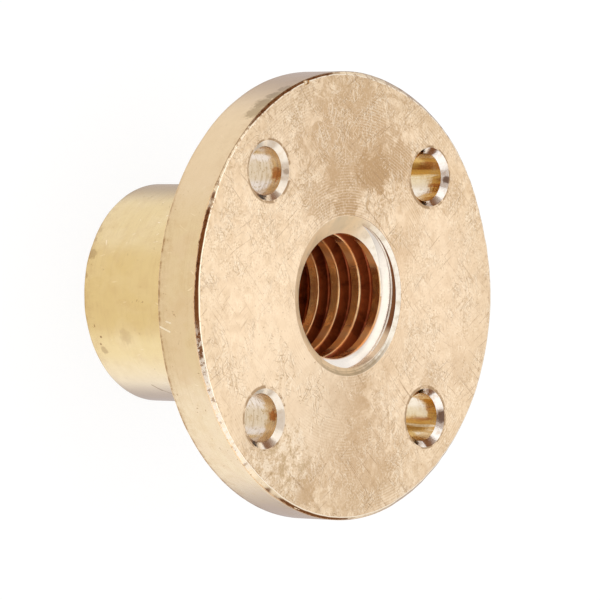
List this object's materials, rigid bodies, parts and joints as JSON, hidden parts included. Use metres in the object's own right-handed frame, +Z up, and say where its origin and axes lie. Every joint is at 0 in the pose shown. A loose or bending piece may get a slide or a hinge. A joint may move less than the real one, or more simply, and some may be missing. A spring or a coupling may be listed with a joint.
{
  "type": "lead screw nut",
  "caption": "Round flanged brass nut: a right-hand trapezoidal thread runs through flange and barrel, and countersunk holes round the flange bolt it to a carriage.",
  "frame": {"origin": "middle of the barrel's end face, which the nut stands on", "axes": "+Z up the thread's axis, from the barrel's end to the flange's face; the bolt holes lie midway between the X and Y axes"},
  "size_m": [0.024, 0.024, 0.014],
  "materials": {
    "brass": "satin turned brass with fine tool marks and light tarnish"
  },
  "bodies": {
    "root": {"nut": "brass"}
  },
  "joints": []
}
